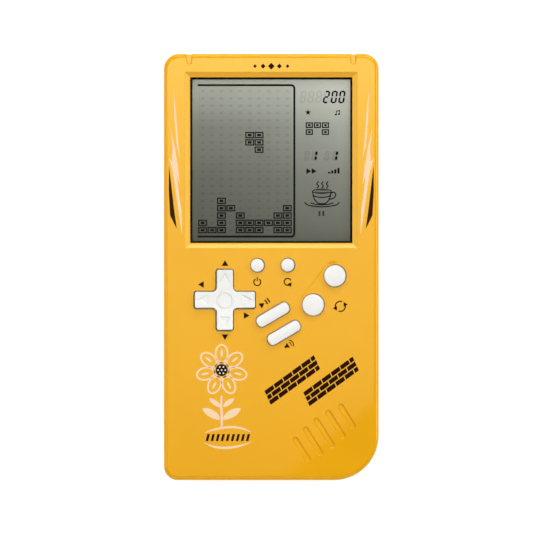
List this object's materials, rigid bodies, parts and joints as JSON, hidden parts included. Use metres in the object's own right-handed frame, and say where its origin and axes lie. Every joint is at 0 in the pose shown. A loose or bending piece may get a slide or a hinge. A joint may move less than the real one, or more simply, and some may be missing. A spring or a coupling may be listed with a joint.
{
  "type": "handheld lcd game",
  "caption": "Flat handheld game with a square LCD window, a cross pad, round and bar push buttons, finger grooves and a sliding battery door.",
  "frame": {"origin": "middle of the flat back face, on the surface that the toy lies on", "axes": "+Y towards the screen end, +X to the right of the screen, +Z out of the screen"},
  "size_m": [0.09, 0.1784, 0.0227],
  "materials": {
    "case_plastic": "glossy moulded",
    "screw_steel": "zinc plated",
    "window": "clear, polished",
    "mask_black": "flat black",
    "polariser": "satin film",
    "lcd_glass": "clear, polished",
    "reflector": "satin grey film",
    "foam": "open-cell foam",
    "zebra_rubber": "silicone",
    "button_white": "satin gloss moulded",
    "keypad_rubber": "silicone",
    "board_green": "lacquered",
    "resin_black": "poured resin",
    "capacitor_blue": "shrink sleeve",
    "transistor_black": "moulded",
    "resistor_tan": "lacquered",
    "buzzer_brass": "rolled sheet",
    "buzzer_ceramic": "silvered ceramic",
    "lead_red": "wire insulation",
    "lead_black": "wire insulation",
    "cell_sleeve": "printed sleeve",
    "contact_metal": "nickel plated"
  },
  "bodies": {
    "case": {"front_shell": "case_plastic", "rear_shell": "case_plastic", "case_screws": "screw_steel", "board_screws": "screw_steel", "window_lens": "window", "lcd_mask": "mask_black", "lcd_polariser": "polariser", "lcd_front_glass": "lcd_glass", "lcd_rear_glass": "lcd_glass", "lcd_reflector": "reflector", "lcd_foam_pad": "foam", "zebra_strip": "zebra_rubber", "dpad_mat": "keypad_rubber", "dpad_dome_up": "keypad_rubber", "dpad_dome_down": "keypad_rubber", "dpad_dome_left": "keypad_rubber", "dpad_dome_right": "keypad_rubber", "action_mat": "keypad_rubber", "power_dome": "keypad_rubber", "reset_dome": "keypad_rubber", "start_pause_dome": "keypad_rubber", "sound_dome": "keypad_rubber", "rotate_dome_upper": "keypad_rubber", "rotate_dome_lower": "keypad_rubber", "main_board": "board_green", "game_chip": "resin_black", "capacitor": "capacitor_blue", "transistor": "transistor_black", "resistors": "resistor_tan", "buzzer_disc": "buzzer_brass", "buzzer_ceramic": "buzzer_ceramic", "buzzer_leads": "lead_red", "battery_lead_red": "lead_red", "battery_lead_black": "lead_black", "battery_upper": "cell_sleeve", "battery_lower": "cell_sleeve", "positive_contact": "contact_metal", "negative_contact": "contact_metal", "negative_spring": "contact_metal", "link_plate": "contact_metal", "link_spring": "contact_metal"},
    "pad_pivot": {"dpad_pivot": "button_white"},
    "pad": {"dpad": "button_white"},
    "power": {"power_button": "button_white"},
    "reset": {"reset_button": "button_white"},
    "start_pause": {"start_pause_button": "button_white"},
    "sound": {"sound_button": "button_white"},
    "rotate_upper": {"rotate_button_upper": "button_white"},
    "rotate_lower": {"rotate_button_lower": "button_white"},
    "door": {"battery_door": "case_plastic"}
  },
  "joints": [
    {"name": "pad_tilt_up_down", "type": "hinge", "parent": "case", "child": "pad_pivot", "pos_m": [-0.0194, -0.0137, 0.017], "axis": [1, 0, 0], "range_deg": [-3.5, 3.5], "stiffness_Nm_per_rad": 0.15, "deforming": ["dpad_dome_up", "dpad_dome_down"]},
    {"name": "pad_tilt_left_right", "type": "hinge", "parent": "pad_pivot", "child": "pad", "pos_m": [-0.0194, -0.0137, 0.017], "axis": [0, 1, 0], "range_deg": [-3.5, 3.5], "stiffness_Nm_per_rad": 0.15, "deforming": ["dpad_dome_left", "dpad_dome_right"]},
    {"name": "power_press", "type": "slide", "parent": "case", "child": "power", "axis": [0, 0, -1], "range_m": [0, 0.0012], "stiffness_N_per_m": 400, "springref_m": -0.0005, "deforming": ["power_dome"]},
    {"name": "reset_press", "type": "slide", "parent": "case", "child": "reset", "axis": [0, 0, -1], "range_m": [0, 0.0012], "stiffness_N_per_m": 400, "springref_m": -0.0005, "deforming": ["reset_dome"]},
    {"name": "start_pause_press", "type": "slide", "parent": "case", "child": "start_pause", "axis": [0, 0, -1], "range_m": [0, 0.0012], "stiffness_N_per_m": 400, "springref_m": -0.0005, "deforming": ["start_pause_dome"]},
    {"name": "sound_press", "type": "slide", "parent": "case", "child": "sound", "axis": [0, 0, -1], "range_m": [0, 0.0012], "stiffness_N_per_m": 400, "springref_m": -0.0005, "deforming": ["sound_dome"]},
    {"name": "rotate_upper_press", "type": "slide", "parent": "case", "child": "rotate_upper", "axis": [0, 0, -1], "range_m": [0, 0.0012], "stiffness_N_per_m": 400, "springref_m": -0.0005, "deforming": ["rotate_dome_upper"]},
    {"name": "rotate_lower_press", "type": "slide", "parent": "case", "child": "rotate_lower", "axis": [0, 0, -1], "range_m": [0, 0.0012], "stiffness_N_per_m": 400, "springref_m": -0.0005, "deforming": ["rotate_dome_lower"]},
    {"name": "door_slide", "type": "slide", "parent": "case", "child": "door", "axis": [0, -1, 0], "range_m": [0, 0.052]}
  ]
}
